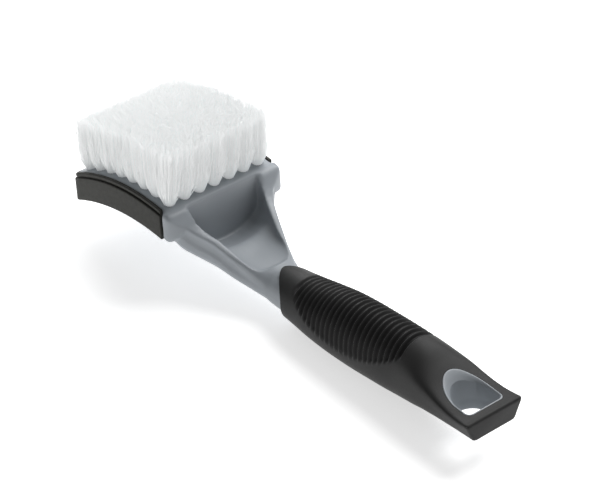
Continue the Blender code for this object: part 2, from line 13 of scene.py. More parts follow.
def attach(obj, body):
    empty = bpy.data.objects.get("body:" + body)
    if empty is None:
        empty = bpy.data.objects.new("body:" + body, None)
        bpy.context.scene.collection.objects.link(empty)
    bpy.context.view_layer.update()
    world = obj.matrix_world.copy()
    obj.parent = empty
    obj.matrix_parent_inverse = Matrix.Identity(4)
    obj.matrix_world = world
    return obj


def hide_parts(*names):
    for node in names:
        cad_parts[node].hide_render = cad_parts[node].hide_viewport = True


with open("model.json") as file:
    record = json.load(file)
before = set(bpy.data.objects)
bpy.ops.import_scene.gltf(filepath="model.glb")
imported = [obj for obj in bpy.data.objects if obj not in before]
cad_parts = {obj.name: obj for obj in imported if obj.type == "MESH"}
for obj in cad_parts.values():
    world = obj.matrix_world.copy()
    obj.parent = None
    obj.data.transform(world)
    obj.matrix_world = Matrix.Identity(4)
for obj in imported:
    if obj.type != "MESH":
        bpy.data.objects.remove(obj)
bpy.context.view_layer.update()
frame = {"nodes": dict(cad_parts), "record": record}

LOG = logging.getLogger("tire_brush")
MM = 0.001
CLEARANCE = 0.12 * MM
WELD = 0.01 * MM
SEAM_ANGLE = math.radians(38)
GOLDEN_TURN = math.pi * (3 - math.sqrt(5))

Point = tuple[float, float]
Ring = list[Vector]
Row = tuple[float, ...]
Place = tuple[float, float, float]
Object = bpy.types.Object
Material = bpy.types.Material
Tree = bpy.types.NodeTree
Socket = bpy.types.NodeSocket
Given = bpy.types.bpy_prop_collection


class Slot(Enum):
    """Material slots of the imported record."""

    GREY = "grey_moulding"
    BLACK = "black_overmould"
    RUBBER = "bumper_rubber"
    BRISTLE = "bristle"
    WIRE = "anchor_wire"


def linear(code: str) -> tuple[float, float, float, float]:
    """Turn an sRGB hex colour into linear RGBA.

    Args:
        code: The colour as "#rrggbb".

    Returns:
        Linear red, green, blue and full alpha.
    """
    values = [int(code[k:k + 2], 16) / 255 for k in (1, 3, 5)]
    red, green, blue = [v / 12.92 if v <= 0.04045 else ((v + 0.055) / 1.055) ** 2.4
                        for v in values]
    return red, green, blue, 1.0


def mix(a: float, b: float, share: float) -> float:
    """Return the value a share of the way from a to b."""
    return a + (b - a) * share


def spaced(first: float, last: float, count: int) -> list[float]:
    """Return count + 1 evenly spaced values from first to last."""
    return [mix(first, last, k / count) for k in range(count + 1)]


def quarter(steps: int) -> list[float]:
    """Return steps + 1 angles from 0 to a right angle."""
    return [math.pi / 2 * k / steps for k in range(steps + 1)]


def blend(table: tuple[Row, ...], share: float) -> list[float]:
    """Read a table of shape values smoothly.

    Args:
        table: Rows whose first column rises; the rest are values.
        share: Where to read, on the scale of the first column.

    Returns:
        The values there, without overshoot between the rows.
    """
    if share <= table[0][0]:
        return list(table[0][1:])
    if share >= table[-1][0]:
        return list(table[-1][1:])
    last = len(table) - 1
    i = max(k for k in range(last) if table[k][0] <= share)
    before, start, end, after = (table[k] for k in (max(i - 1, 0), i, i + 1, min(i + 2, last)))
    span = end[0] - start[0]
    t = (share - start[0]) / span
    values = []
    for a, b, c, e in zip(before[1:], start[1:], end[1:], after[1:]):
        rise = c - b
        slope_in = (c - a) / (end[0] - before[0]) * span
        slope_out = (e - b) / (after[0] - start[0]) * span
        slope_in = slope_in if rise * slope_in > 0 else 0
        slope_out = slope_out if rise * slope_out > 0 else 0
        square = 3 * rise - 2 * slope_in - slope_out
        values.append(b + slope_in * t + square * t**2
                      + (slope_in + slope_out - 2 * rise) * t**3)
    return values


def link_mesh(name: str, bm: bmesh.types.BMesh) -> Object:
    """Turn a bmesh into a linked object with its faces outward, and free it.

    Args:
        name: The new object's name.
        bm: The mesh to keep.

    Returns:
        The new object, at the origin.
    """
    bmesh.ops.recalc_face_normals(bm, faces=bm.faces)
    mesh = bpy.data.meshes.new(name)
    bm.to_mesh(mesh)
    bm.free()
    obj = bpy.data.objects.new(name, mesh)
    bpy.context.scene.collection.objects.link(obj)
    return obj


def loft(name: str, rings: list[Ring], looped: bool = False) -> Object:
    """Join rings of equal counts into one closed form.

    Args:
        name: The new object's name.
        rings: The rings in order.
        looped: Join the last ring to the first instead of capping both.

    Returns:
        The new object.
    """
    bm = bmesh.new()
    rows = [[bm.verts.new(p) for p in ring] for ring in rings]
    count = len(rows[0])
    pairs = list(zip(rows, rows[1:])) + ([(rows[-1], rows[0])] if looped else [])
    for near, far in pairs:
        for k in range(count):
            bm.faces.new((near[k], near[(k + 1) % count], far[(k + 1) % count], far[k]))
    if not looped:
        bm.faces.new(rows[0])
        bm.faces.new(rows[-1])
    return link_mesh(name, bm)


def settle(obj: Object) -> Object:
    """Turn an object with modifiers into a plain mesh.

    Args:
        obj: The object, whose modifiers are all live.

    Returns:
        The same object, with its evaluated mesh and no modifiers.
    """
    depsgraph = bpy.context.evaluated_depsgraph_get()
    result = bpy.data.meshes.new_from_object(obj.evaluated_get(depsgraph))
    old = obj.data
    obj.modifiers.clear()
    obj.data = result
    bpy.data.meshes.remove(old)
    return obj


def carve(target: Object, tool: Object) -> Object:
    """Cut one closed form out of another, and drop the tool.

    Args:
        target: The form that stays.
        tool: The form that is cut out of it.

    Returns:
        The target.
    """
    modifier = target.modifiers.new("carve", "BOOLEAN")
    modifier.operation = "DIFFERENCE"
    modifier.solver = "EXACT"
    modifier.object = tool
    settle(target)
    bpy.data.objects.remove(tool)
    return target


def dress(obj: Object, material: Material, slot: Slot, *nodes: str) -> None:
    """Give a finished piece its material and its place on the brush.

    Args:
        obj: The piece, with its place in its mesh.
        material: Its finish.
        slot: The record's slot that it takes its finish from; not used.
        nodes: The CAD nodes that it stands for.
    """
    obj.data.materials.clear()
    obj.data.materials.append(material)
    obj.data.shade_smooth()
    if obj.name not in frame["nodes"]:
        obj.data.set_sharp_from_angle(angle=SEAM_ANGLE)
        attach(obj, "root")
    if nodes:
        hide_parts(*nodes)
    LOG.info("%s: %d faces, %s", obj.name, len(obj.data.polygons), material.name)


# ---- Node trees


def add_node(tree: Tree, kind: str, inputs: dict | None = None,
             **settings) -> bpy.types.Node:
    """Add a node with its settings, values and links.

    Args:
        tree: The node tree.
        kind: The node's type.
        inputs: Values or output sockets by input name or number.
        settings: The node's own properties.

    Returns:
        The new node.
    """
    node = tree.nodes.new(kind)
    for key, value in settings.items():
        setattr(node, key, value)
    for key, value in (inputs or {}).items():
        if isinstance(value, Socket):
            tree.links.new(value, node.inputs[key])
        else:
            node.inputs[key].default_value = value
    return node


@dataclass(frozen=True)
class Wires:
    """A node tree, with short forms for the nodes that are used often."""

    tree: Tree

    def out(self, kind: str, inputs: dict | None = None, output: int | str = 0,
            **settings) -> Socket:
        """Add a node and return one of its outputs."""
        return add_node(self.tree, kind, inputs, **settings).outputs[output]

    def math(self, operation: str, *values: Socket | float) -> Socket:
        """Add one step of arithmetic and return its result."""
        return self.out("ShaderNodeMath", dict(enumerate(values)), operation=operation)

    def product(self, first: Socket, *others: Socket | float) -> Socket:
        """Return the product of several values."""
        for other in others:
            first = self.math("MULTIPLY", first, other)
        return first

    def vector(self, operation: str, *values: Socket) -> Socket:
        """Add one step of vector arithmetic and return its result."""
        return self.out("ShaderNodeVectorMath", dict(enumerate(values)), operation=operation)

    def scaled(self, value: Socket, scale: Socket) -> Socket:
        """Return a vector that is scaled by a number."""
        return self.out("ShaderNodeVectorMath", {0: value, "Scale": scale}, operation="SCALE")

    def combine(self, *parts: Socket) -> Socket:
        """Return a vector made of its parts."""
        return self.out("ShaderNodeCombineXYZ", dict(enumerate(parts)))

    def separate(self, value: Socket) -> list[Socket]:
        """Return the three parts of a vector."""
        return list(add_node(self.tree, "ShaderNodeSeparateXYZ", {0: value}).outputs)

    def remap(self, value: Socket, source: tuple = (0.0, 1.0), target: Point = (0.0, 1.0),
              **settings) -> Socket:
        """Carry a value from one range to another.

        Args:
            value: The value.
            source: Ends of the range that it comes from, numbers or sockets.
            target: Ends of the range that it goes to.
            settings: The node's own properties.

        Returns:
            The value in its new range.
        """
        inputs = {"Value": value, "From Min": source[0], "From Max": source[1],
                  "To Min": target[0], "To Max": target[1]}
        return self.out("ShaderNodeMapRange", inputs, "Result", **settings)


KINDS = {int: "NodeSocketInt", float: "NodeSocketFloat", Material: "NodeSocketMaterial"}


@dataclass(frozen=True)
class MeshTree(Wires):
    """A Geometry Nodes tree with named inputs."""

    given: Given

    @classmethod
    def start(cls, name: str, values: dict) -> "MeshTree":
        """Start a tree.

        Args:
            name: The tree's name.
            values: Values by the names of its inputs, which take their kinds from them.

        Returns:
            The tree, with its inputs and one output.
        """
        tree = bpy.data.node_groups.new(name, "GeometryNodeTree")
        for way in ("INPUT", "OUTPUT"):
            tree.interface.new_socket("Geometry", in_out=way, socket_type="NodeSocketGeometry")
        for label, value in values.items():
            tree.interface.new_socket(label, in_out="INPUT", socket_type=KINDS[type(value)])
        return cls(tree, add_node(tree, "NodeGroupInput").outputs)

    def read(self, name: str, kind: str = "FLOAT") -> Socket:
        """Return a named attribute."""
        return self.out("GeometryNodeInputNamedAttribute", {"Name": name}, "Attribute",
                        data_type=kind)

    def store(self, geometry: Socket, name: str, value: Socket, kind: str = "FLOAT") -> Socket:
        """Keep a value with the geometry as a named attribute."""
        return self.out("GeometryNodeStoreNamedAttribute",
                        {"Geometry": geometry, "Name": name, "Value": value}, data_type=kind)

    def move(self, geometry: Socket, offset: Socket) -> Socket:
        """Return the geometry with its points moved."""
        return self.out("GeometryNodeSetPosition", {"Geometry": geometry, "Offset": offset})

    def close(self, geometry: Socket) -> Tree:
        """End the tree with plain geometry in its material."""
        real = self.out("GeometryNodeRealizeInstances", {0: geometry})
        painted = self.out("GeometryNodeSetMaterial",
                           {"Geometry": real, "Material": self.given["Material"]})
        add_node(self.tree, "NodeGroupOutput", {0: painted})
        return self.tree


def run_tree(obj: Object, tree: Tree, values: dict) -> Object:
    """Run a Geometry Nodes tree on an object and keep the result as a plain mesh.

    Args:
        obj: The object that carries the tree.
        tree: The tree.
        values: Input values by their names.

    Returns:
        The object with its new mesh.
    """
    modifier = obj.modifiers.new(tree.name, "NODES")
    modifier.node_group = tree
    for item in tree.interface.items_tree:
        if item.in_out == "INPUT" and item.name in values:
            modifier[item.identifier] = values[item.name]
    return settle(obj)


# ---- Shape


@dataclass(frozen=True)
class BrushForm:
    """The brush's driving sizes in its own frame: d runs from tail to head, z is up."""

    grip_length: float = 143.0 * MM
    grip_half_width: float = 15.0 * MM
    grip_top: float = 18.2 * MM
    grip_belly: float = 17.6 * MM
    grip_wall: float = 3.2 * MM
    neck_step: float = 1.6 * MM
    neck_step_run: float = 14.3 * MM
    edge_wave: float = 12.0 * MM
    edge_wave_run: float = 27.5 * MM
    tail_half_width: float = 17.3 * MM
    tail_base_half_width: float = 12.5 * MM
    tail_top: float = 0.7 * MM
    tail_bottom: float = 9.7 * MM
    yoke_run: float = 43.2 * MM
    head_length: float = 77.6 * MM
    head_width: float = 70.0 * MM
    head_thickness: float = 16.0 * MM
    head_corner: float = 6.5 * MM
    plate_radius: float = 115.0 * MM
    back_radius: float = 125.0 * MM
    plate_crown_setback: float = 26.8 * MM
    plate_crown: float = 38.6 * MM
    field_front: float = 4.35 * MM
    field_rear: float = 2.05 * MM
    grip_power: float = 2.1
    edge_power: float = 1.6
    base_share: float = 0.30
    side_share: float = 0.60
    side_height_share: float = 0.06
    around: int = 24
    side_around: int = 4
    corner_rounds: int = 3
    side_rounds: int = 22
    side_run: float = 24.0 * MM

    # Rows from tail to neck: share of the length, then shares of the half width, the top and
    # the belly, and how far the section has become the tail's flat-sided one
    grip_rows: tuple[Row, ...] = (
        (0.000, 1.00, 1.00, 1.00, 1.00),
        (0.080, 1.00, 1.00, 0.95, 0.97),
        (0.154, 0.99, 1.00, 0.88, 0.80),
        (0.231, 0.98, 1.00, 0.86, 0.46),
        (0.294, 0.97, 1.00, 0.93, 0.17),
        (0.364, 0.96, 0.99, 0.97, 0.02),
        (0.455, 0.98, 1.00, 1.00, 0.00),
        (0.573, 1.00, 1.00, 1.00, 0.00),
        (0.685, 1.01, 0.95, 0.94, 0.00),
        (0.783, 0.99, 0.83, 0.82, 0.00),
        (0.874, 0.91, 0.73, 0.68, 0.00),
        (0.944, 0.85, 0.67, 0.59, 0.00),
        (1.000, 0.82, 0.66, 0.545, 0.00),
    )

    @property
    def head_rear(self) -> float:
        """Where the head starts, as a distance from the tail."""
        return self.grip_length + self.yoke_run

    @property
    def head_front(self) -> float:
        """Where the head ends, as a distance from the tail."""
        return self.head_rear + self.head_length

    @property
    def lie(self) -> Matrix:
        """The turn and place of the brush in the frame, read from the tail's mount."""
        mount = next(m for m in frame["record"]["mounts"] if m["name"] == "tail_end")
        turn = Matrix.Rotation(-math.atan2(mount["axis"][2], mount["axis"][0]), 4, "Y")
        middle = turn @ Vector((0, 0, (self.tail_top - self.tail_bottom) / 2))
        return Matrix.Translation(Vector(mount["pos_m"]) - middle) @ turn

    def lay(self, obj: Object) -> Object:
        """Carry a piece's mesh from the brush's own frame into the shared one."""
        obj.data.transform(self.lie)
        return obj

    def arc(self, d: float, radius: float, crown: float) -> float:
        """Return the height of an arc over the head at the distance d."""
        away = d - self.head_rear - self.plate_crown_setback
        return crown - radius + math.sqrt(radius**2 - away**2)

    def plate(self, d: float) -> float:
        """Return the height of the bristle plate at the distance d."""
        return self.arc(d, self.plate_radius, self.plate_crown)

    def back(self, d: float) -> float:
        """Return the height of the head's underside at the distance d."""
        return self.arc(d, self.back_radius, self.plate_crown - self.head_thickness)

    def flat_sided(self, share: float, half_top: float, half_base: float, top: float,
                   bottom: float) -> Point:
        """Return a point of the tail's section.

        Args:
            share: The way along the half outline, from the belly's middle to the crown's.
            half_top: Half the width of the flat top.
            half_base: Half the width of the flat base.
            top: Height of the top.
            bottom: Height of the base.

        Returns:
            The point's y and z.
        """
        if share < self.base_share:
            return half_base * share / self.base_share, bottom
        if share < self.side_share:
            t = (share - self.base_share) / (self.side_share - self.base_share)
            return mix(half_base, half_top, t), mix(bottom, top, t)
        return half_top * (1 - share) / (1 - self.side_share), top

    def grip_half(self, d: float, inset: float = 0) -> list[Point]:
        """Return half of the grip's section.

        Args:
            d: Distance from the tail.
            inset: How far the section is drawn in.

        Returns:
            Points (y, z) from the belly's middle to the crown's.
        """
        width, top_share, belly, tail = blend(self.grip_rows, d / self.grip_length)
        half_width = mix(self.grip_half_width * width, self.tail_half_width, tail) - inset
        skin_top = mix(self.grip_top * top_share, self.tail_top, tail)
        skin_bottom = -mix(self.grip_belly * belly, self.tail_bottom, tail)
        top, bottom = skin_top - inset, skin_bottom + inset
        middle = mix(bottom, top, -skin_bottom / (skin_top - skin_bottom))
        rise = (top - bottom) * self.side_height_share / 2
        low, high = middle - rise, middle + rise
        power, turns = 2 / self.grip_power, quarter(self.around)
        points = [(half_width * math.sin(t)**power, low + (bottom - low) * math.cos(t)**power)
                  for t in turns[:-1]]
        points += [(half_width, z) for z in spaced(low, high, self.side_around)]
        points += [(half_width * math.cos(t)**power, high + (top - high) * math.sin(t)**power)
                   for t in turns[1:-1]]
        points.append((0.0, top))
        half_base, last = self.tail_base_half_width - inset, len(points) - 1
        for k, (y, z) in enumerate(points):
            flat = self.flat_sided(k / last, half_width, half_base, top, bottom)
            points[k] = (mix(y, flat[0], tail), mix(z, flat[1], tail))
        return points

    def grip_ring(self, d: float, inset: float = 0) -> Ring:
        """Return the grip's whole section as a ring, its corners eased.

        Args:
            d: Distance from the tail.
            inset: How far the section is drawn in.

        Returns:
            The ring's points.
        """
        half = self.grip_half(d, inset)
        whole = np.array(half + [(-y, z) for y, z in reversed(half[1:-1])])
        for _ in range(self.corner_rounds + round(self.side_rounds * min(d / self.side_run, 1))):
            whole = (np.roll(whole, 1, axis=0) + 2 * whole + np.roll(whole, -1, axis=0)) / 4
        return [Vector((-d, y, z)) for y, z in whole]

    def waved_ring(self, d: float, inset: float = 0) -> Ring:
        """Return a ring of the grip, which stays back on its sides and below near the neck.

        Args:
            d: Distance from the tail on top of the grip.
            inset: How far the section is drawn in.

        Returns:
            The ring's points.
        """
        fade = 1 - (self.grip_length - d) / self.edge_wave_run
        ring = self.grip_ring(d, inset)
        if fade <= 0:
            return ring
        half_width = max(point.y for point in ring)
        waved = []
        for k, point in enumerate(ring):
            share = (abs(point.y) / half_width)**self.edge_power if point.z > 0 else 1
            waved.append(self.grip_ring(d - fade * self.edge_wave * share, inset)[k])
        return waved

    def core_inset(self, d: float) -> float:
        """Return how deep the core lies under the grip's skin at the distance d."""
        share = (self.grip_length - self.edge_wave - d) / self.neck_step_run
        return mix(self.neck_step, self.grip_wall, min(max(share, 0), 1))

    def skin(self, d: float, y: float, top: bool = True) -> float:
        """Return the height of the grip's skin.

        Args:
            d: Distance from the tail.
            y: Distance from the middle.
            top: Read the upper side and not the lower one.

        Returns:
            The height at that place.
        """
        ring = self.grip_ring(d)
        half = ring[:len(ring) // 2 + 1]
        widest = max(range(len(half)), key=lambda k: half[k].y)
        part = half[:widest - 1:-1] if top else half[:widest + 1]
        return float(np.interp(abs(y), [p.y for p in part], [p.z for p in part]))


@dataclass(frozen=True)
class HangHole:
    """The D-shaped hang hole, its bezel and the slope between them."""

    form: BrushForm
    tail_margin: float = 5.0 * MM
    length: float = 24.7 * MM
    half_width: float = 11.1 * MM
    corner: float = 3.0 * MM
    rim: float = 1.3 * MM
    lip: float = 0.55 * MM
    ramp_length: float = 4.6 * MM
    ramp_drop: float = 1.5 * MM
    bore_corner: float = 2.0 * MM
    lip_rise: float = 0.12 * MM
    lip_round: float = 0.25 * MM
    curve_steps: int = 20
    corner_steps: int = 8

    # The hole's lower mouth: how far it is drawn in at each height over the belly
    mouth: tuple[Point, ...] = ((2.3 * MM, 0.0), (2.5 * MM, 0.4 * MM), (2.1 * MM, 1.4 * MM),
                                (1.0 * MM, 3.0 * MM), (0.0, 4.8 * MM))

    # Shares of the way up the slope, and the lip's fall outward: shares of its rounding for
    # how far each ring is drawn in and how far it has dropped
    slope_shares: Row = (0.0, 0.35, 0.65, 0.90, 1.0)
    lip_fall: tuple[Point, ...] = ((1.0, 0.0), (0.25, 0.35), (0.0, 1.0))

    def outline(self, tail_d: float, length: float, half_width: float,
                corner: float) -> list[Point]:
        """Return a D from above.

        Args:
            tail_d: Distance of its straight side from the tail.
            length: Its length along the brush.
            half_width: Half its width.
            corner: Radius of the corners at its straight side.

        Returns:
            Points (d, y): round corners at the tail, half an ellipse toward the head.
        """
        middle, reach = tail_d + length / 3, length * 2 / 3
        half = [(tail_d + corner * (1 - math.cos(t)), half_width - corner * (1 - math.sin(t)))
                for t in quarter(self.corner_steps)]
        half += [(middle + reach * math.sin(t), half_width * math.cos(t))
                 for t in quarter(self.curve_steps)[1:-1]]
        return half + [(tail_d + length, 0.0)] + [(d, -y) for d, y in reversed(half)]

    def bezel(self, inset: float = 0) -> list[Point]:
        """Return the bezel's outline, drawn in by an inset."""
        return self.outline(self.tail_margin + inset, self.length - 2 * inset,
                            self.half_width - inset, self.corner - inset)

    def bore(self, inset: float = 0) -> list[Point]:
        """Return the hole's outline, drawn in by an inset."""
        length = self.length - self.rim - self.ramp_length
        return self.outline(self.tail_margin + self.rim + inset, length - 2 * inset,
                            self.half_width - self.rim - inset,
                            max(self.bore_corner - inset, self.lip_round))

    def plug(self, inset: float) -> Object:
        """Return a tall block with the bezel's outline, drawn in by an inset."""
        reach = self.form.grip_top + self.form.grip_belly
        return loft("plug", [[Vector((-d, y, z)) for d, y in self.bezel(inset)]
                             for z in (-reach, 2 * reach)])

    def drop(self, d: float) -> float:
        """Return how far the slope's foot lies under the skin: least at the tail."""
        share = (d - self.tail_margin - self.rim) / (self.length - self.rim - self.ramp_length)
        return mix(self.rim, self.ramp_drop, min(max(share, 0), 1))

    def ring(self, outline: list[Point], rise: float, top: bool = True) -> Ring:
        """Lay an outline over the grip's upper or lower skin at a height."""
        return [Vector((-d, y, self.form.skin(d, y, top) + rise)) for d, y in outline]

    def build(self, material: Material) -> None:
        """Build the lined hole as one closed tube, and dress it.

        Args:
            material: The tube's finish.
        """
        rings = [self.ring(self.bezel(), self.lip_round, False),
                 self.ring(self.bezel(self.lip_round), 0, False)]
        rings += [self.ring(self.bore(inset), rise, False) for inset, rise in self.mouth]
        foot = [Vector((-d, y, self.form.skin(d, y) - self.drop(d))) for d, y in self.bore()]
        edge = self.ring(self.bezel(self.lip), self.lip_rise)
        for share in self.slope_shares:
            bulge = Vector((0, 0, self.lip_round * math.sin(math.pi * share)))
            rings.append([a.lerp(b, share) + bulge for a, b in zip(foot, edge)])
        rings += [self.ring(self.bezel(self.lip_round * inset),
                            self.lip_rise - self.lip_round * fall)
                  for inset, fall in self.lip_fall]
        collar = self.form.lay(loft("hang_hole_collar", rings, looped=True))
        dress(collar, material, Slot.GREY, "brush_body")


@dataclass(frozen=True)
class GreyMoulding:
    """The grey moulding: the CAD body, closed round the tufts, with its edges eased."""

    form: BrushForm
    hole: HangHole
    voxel: float = 0.52 * MM
    ease_factor: float = 0.5
    ease_steps: int = 16
    field_half_width: float = 30.5 * MM
    filler_depth: float = 5.5 * MM
    overlap: float = 0.9 * MM
    steps: int = 40
    shoulder_inner: float = 21.9 * MM
    shoulder_square: float = 0.25

    # The head's rear corner: setback behind the head, share of its half width, fall of its
    # top and rise of its underside
    shoulder_rows: tuple[Row, ...] = (
        (-3.0 * MM, 1.000, 0.1 * MM, 0.3 * MM),
        (0.0 * MM, 1.000, 0.1 * MM, 0.8 * MM),
        (1.0 * MM, 0.994, 0.3 * MM, 1.6 * MM),
        (2.0 * MM, 0.974, 1.0 * MM, 2.7 * MM),
        (3.0 * MM, 0.930, 2.4 * MM, 3.8 * MM),
        (4.0 * MM, 0.857, 4.6 * MM, 5.9 * MM),
        (5.0 * MM, 0.771, 7.0 * MM, 8.0 * MM),
    )

    def plate_filler(self) -> Object:
        """Build the slab that closes the plate's pocket.

        Returns:
            The slab, in the brush's own frame.
        """
        form, half = self.form, self.field_half_width + self.overlap
        rings = []
        for d in spaced(form.head_front - form.field_front + self.overlap,
                        form.head_rear + form.field_rear - self.overlap, self.steps):
            top, low = form.plate(d), form.plate(d) - self.filler_depth
            corners = ((-half, low), (half, low), (half, top), (-half, top))
            rings.append([Vector((-d, y, z)) for y, z in corners])
        return loft("plate_filler", rings)

    def shoulder(self, side: int) -> Object:
        """Build the rounded corner between the plate and one arm of the yoke.

        Args:
            side: 1 or -1, the side of the head.

        Returns:
            The corner, in the brush's own frame.
        """
        form, power, rings = self.form, self.shoulder_square, []
        for setback, width, fall, rise in self.shoulder_rows:
            d, outer = form.head_rear - setback, form.head_width / 2 * width
            top, low = form.plate(d) - fall, form.back(d) + rise
            middle, half = (outer + self.shoulder_inner) / 2, (outer - self.shoulder_inner) / 2
            ring = []
            for k in range(self.steps):
                t = 2 * math.pi * k / self.steps
                y = math.copysign(abs(math.cos(t))**power, math.cos(t))
                z = math.copysign(abs(math.sin(t))**power, math.sin(t))
                ring.append(Vector((-d, side * (middle + half * y),
                                    (top + low) / 2 + (top - low) / 2 * z)))
            rings.append(ring)
        return loft("shoulder", rings)

    def build(self, material: Material) -> None:
        """Build the moulding from the CAD body, and dress it.

        Args:
            material: The moulding's finish.
        """
        bm = bmesh.new()
        bm.from_mesh(frame["nodes"]["brush_body"].data)
        for filler in (self.plate_filler(), self.shoulder(1), self.shoulder(-1)):
            bm.from_mesh(self.form.lay(filler).data)
            bpy.data.objects.remove(filler)
        bmesh.ops.remove_doubles(bm, verts=bm.verts, dist=WELD)
        body = link_mesh("body_moulding", bm)
        remesh = body.modifiers.new("remesh", "REMESH")
        remesh.mode = "VOXEL"
        remesh.voxel_size = self.voxel
        ease = body.modifiers.new("ease", "SMOOTH")
        ease.factor = self.ease_factor
        ease.iterations = self.ease_steps
        settle(body)
        carve(body, self.form.lay(self.hole.plug(self.overlap / 2)))
        dress(body, material, Slot.GREY, "brush_body")


@dataclass(frozen=True)
class RibbedGrip:
    """The soft grip: a closed skin round the core, its ribs pressed in by Geometry Nodes."""

    form: BrushForm
    hole: HangHole
    grooves: int = 24
    neck_margin: float = 18.2 * MM
    tail_margin: float = 49.8 * MM
    end_dip: float = 4.0 * MM
    end_rise: float = 13.0 * MM
    fade: float = 3.0 * MM
    depth: float = 1.25 * MM
    valley_share: float = 0.62
    slope_share: float = 0.17
    tail_round: float = 1.5 * MM
    lip_round: float = 0.5 * MM
    coarse: float = 1.3 * MM
    rib_steps: int = 13
    core_steps: int = 44
    round_steps: int = 6

    @property
    def pitch(self) -> float:
        """Distance between two grooves."""
        return (self.form.grip_length - self.neck_margin - self.tail_margin) / (self.grooves - 1)

    def end_height(self, d: float) -> float:
        """Return the height at which the grooves end at the distance d."""
        half_field = self.pitch * (self.grooves - 1) / 2
        return self.end_rise * ((d - self.tail_margin) / half_field - 1)**2 - self.end_dip

    def stations(self) -> list[float]:
        """Return the distances of the skin's rings, close together where the ribs are.

        Returns:
            Distances from the tail, rising.
        """
        front = self.form.grip_length - self.lip_round
        near = self.tail_margin - self.pitch
        far = self.form.grip_length - self.neck_margin + self.pitch
        found = []
        for first, last, step in ((self.tail_round, near, self.coarse),
                                  (near, far, self.pitch / self.rib_steps),
                                  (far, front, self.coarse)):
            found += spaced(first, last, round((last - first) / step))[:-1]
        return found + [front]

    def shell(self) -> Object:
        """Build the closed skin: tail face, outside, front lip and cavity round the core.

        Returns:
            The skin, with its way along the grip and its height over the rib ends.
        """
        form, turns = self.form, quarter(self.round_steps)[:-1]
        rings = [form.grip_ring(self.tail_round * (1 - math.cos(t)),
                                self.tail_round * (1 - math.sin(t))) for t in turns]
        rings += [form.waved_ring(d) for d in self.stations()]
        rings += [form.waved_ring(form.grip_length - self.lip_round * (1 - math.sin(t)),
                                  self.lip_round * (1 - math.cos(t))) for t in turns[1:]]
        outside = len(rings)
        rings += [form.waved_ring(d, form.core_inset(d) - CLEARANCE)
                  for d in spaced(form.grip_length, form.grip_wall, self.core_steps)]
        skin = loft("grip_skin", rings)
        along = skin.data.attributes.new("along", "FLOAT", "POINT")
        over = skin.data.attributes.new("over_ends", "FLOAT", "POINT")
        count = len(rings[0])
        for k, ring in enumerate(rings):
            for j, point in enumerate(ring):
                height = point.z - self.end_height(-point.x) if k < outside else -1.0
                along.data[k * count + j].value = -point.x
                over.data[k * count + j].value = height
        return skin

    def rib_tree(self, values: dict) -> Tree:
        """Build the tree that presses the grooves into the skin along its normals.

        Args:
            values: The sizes of the ribs by the names of the tree's inputs.

        Returns:
            The tree.
        """
        net = MeshTree.start("rib_press", values)
        given, pitch, along = net.given, net.given["Pitch"], net.read("along")
        place = net.math("SUBTRACT", along, given["First"])
        half = net.product(pitch, 0.5)
        off = net.math("PINGPONG", place, half)
        wide = net.product(half, given["Valley"])
        slope = net.product(pitch, given["Slope"])
        ends = net.math("ADD", wide, slope), net.math("SUBTRACT", wide, slope)
        groove = net.remap(off, ends, interpolation_type="SMOOTHSTEP")
        run = net.remap(net.read("over_ends"), (0.0, given["Fade"]),
                        interpolation_type="SMOOTHSTEP")
        before = net.math("GREATER_THAN", place, net.product(half, -1.0))
        after = net.math("LESS_THAN", along, net.math("ADD", given["Last"], half))
        valley = net.product(groove, run, before, after)
        press = net.product(valley, given["Depth"], -1.0)
        offset = net.scaled(net.out("GeometryNodeInputNormal", output="Normal"), press)
        # The groove mask is kept for the material, which paints shade into the valleys with it
        kept = net.store(given["Geometry"], "valley", valley)
        return net.close(net.move(kept, offset))

    def build(self, material: Material) -> None:
        """Build the grip with its ribs and the opening for the bezel, and dress it.

        Args:
            material: The grip's finish.
        """
        skin = self.shell()
        values = {"First": self.tail_margin, "Last": self.form.grip_length - self.neck_margin,
                  "Pitch": self.pitch, "Depth": self.depth, "Valley": self.valley_share,
                  "Slope": self.slope_share, "Fade": self.fade, "Material": material}
        run_tree(skin, self.rib_tree(values), values)
        carve(skin, self.hole.plug(-CLEARANCE))
        dress(self.form.lay(skin), material, Slot.BLACK, "grip_overmould")


